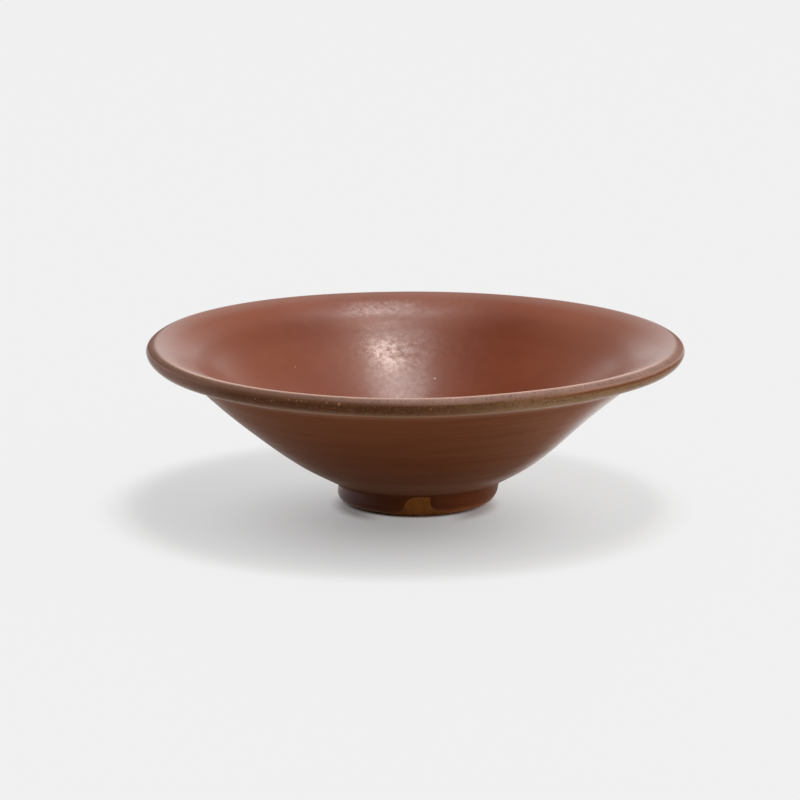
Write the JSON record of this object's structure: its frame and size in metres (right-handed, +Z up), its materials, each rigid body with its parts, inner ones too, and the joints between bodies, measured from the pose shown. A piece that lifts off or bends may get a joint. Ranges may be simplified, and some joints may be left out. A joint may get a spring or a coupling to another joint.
{
  "type": "tea bowl",
  "caption": "Conical stoneware tea bowl with a thin flaring wall, a rolled everted lip and a small turned foot ring under a russet iron glaze; holds a drink and stands on its foot.",
  "frame": {"origin": "on the table, at the centre of the foot ring", "axes": "+Z up along the axis the bowl was thrown on; -Y faces the viewer and the bare patch on the foot; +X to the viewer's right"},
  "size_m": [0.15, 0.15, 0.046],
  "materials": {
    "bare_clay": "fired unglazed stoneware, dry and slightly gritty",
    "brown_glaze": "dark russet iron glaze, semi-gloss",
    "worn_lip_glaze": "thin worn glaze over the lip, olive brown with buff specks",
    "russet_glaze": "persimmon russet iron glaze, semi-gloss with soft mottling"
  },
  "bodies": {
    "root": {"clay_body": "bare_clay", "foot_ring": "bare_clay", "outer_glaze": "brown_glaze", "lip_glaze": "worn_lip_glaze", "inner_glaze": "russet_glaze", "foot_glaze": "brown_glaze"}
  },
  "joints": []
}
